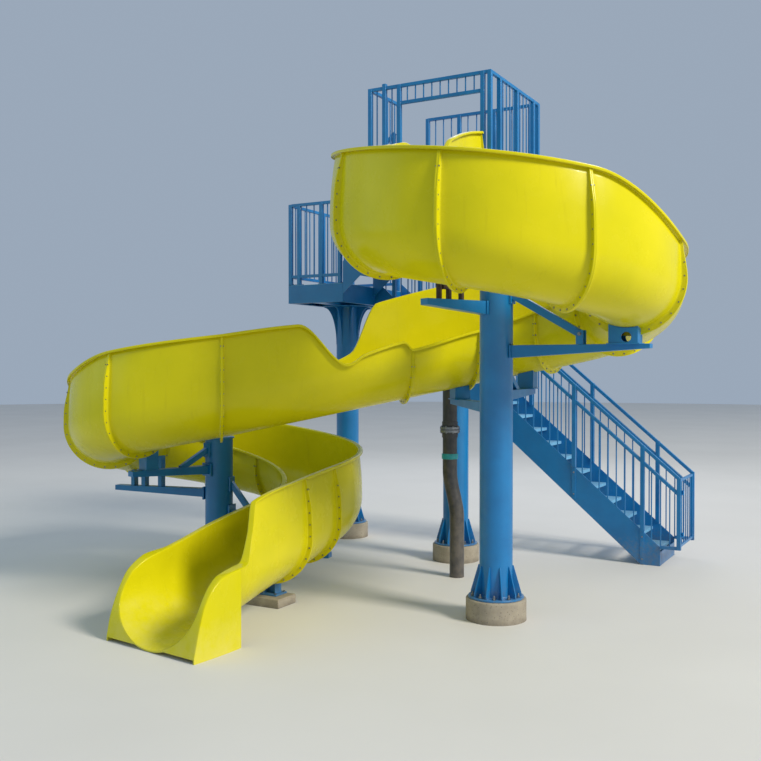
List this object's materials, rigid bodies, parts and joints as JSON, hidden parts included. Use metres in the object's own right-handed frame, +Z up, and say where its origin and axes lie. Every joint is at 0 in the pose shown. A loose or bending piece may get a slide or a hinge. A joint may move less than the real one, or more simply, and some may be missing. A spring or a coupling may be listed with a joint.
{
  "type": "water slide tower",
  "caption": "Water slide tower: an open fibreglass flume in two opposed loops on steel columns, with a caged start platform, landing, stair flights and foot gate.",
  "frame": {"origin": "middle of the overall footprint, at ground level", "axes": "+X along the long side, towards the foot of the stair; +Y from the slide's exit towards the stair; +Z up"},
  "size_m": [7.16, 6.7116, 5.964],
  "materials": {
    "fibreglass_yellow": "glossy gel-coated moulded fibreglass",
    "paint_blue": "satin paint on welded steel",
    "concrete": "cast concrete, trowelled",
    "pipe_dark": "dark plastic pressure pipe"
  },
  "bodies": {
    "tower": {"footing_upper_loop": "concrete", "footing_lower_loop": "concrete", "footing_platform": "concrete", "footing_landing": "concrete", "column_upper_loop": "paint_blue", "column_lower_loop": "paint_blue", "column_platform": "paint_blue", "column_landing": "paint_blue", "flume_start": "fibreglass_yellow", "flume_upper_1": "fibreglass_yellow", "flume_upper_2": "fibreglass_yellow", "flume_upper_3": "fibreglass_yellow", "flume_upper_4": "fibreglass_yellow", "flume_upper_5": "fibreglass_yellow", "flume_upper_6": "fibreglass_yellow", "flume_upper_7": "fibreglass_yellow", "flume_cross_1": "fibreglass_yellow", "flume_cross_2": "fibreglass_yellow", "flume_lower_1": "fibreglass_yellow", "flume_lower_2": "fibreglass_yellow", "flume_lower_3": "fibreglass_yellow", "flume_lower_4": "fibreglass_yellow", "flume_lower_5": "fibreglass_yellow", "flume_lower_6": "fibreglass_yellow", "flume_lower_7": "fibreglass_yellow", "flume_exit_run": "fibreglass_yellow", "flume_exit": "fibreglass_yellow", "arm_upper_front": "paint_blue", "beam_upper_right": "paint_blue", "arm_upper_rear": "paint_blue", "arm_crossover": "paint_blue", "arm_lower_front": "paint_blue", "arm_lower_left": "paint_blue", "arm_lower_rear": "paint_blue", "exit_support_block": "concrete", "exit_support_stand": "paint_blue", "platform_deck": "paint_blue", "landing_deck": "paint_blue", "platform_guard_front": "paint_blue", "platform_guard_back": "paint_blue", "platform_guard_right": "paint_blue", "platform_guard_left": "paint_blue", "landing_guard_left": "paint_blue", "landing_guard_front": "paint_blue", "landing_guard_back": "paint_blue", "lower_flight": "paint_blue", "upper_flight": "paint_blue", "lower_guard_near": "paint_blue", "lower_guard_far": "paint_blue", "upper_guard_front": "paint_blue", "upper_guard_back": "paint_blue", "water_pipe": "pipe_dark"},
    "gate": {"stair_gate": "paint_blue"}
  },
  "joints": [
    {"name": "gate_hinge", "type": "hinge", "parent": "tower", "child": "gate", "pos_m": [2.885, 2.5478, 0.65], "axis": [0, 0, -1], "range_deg": [0, 90]}
  ]
}
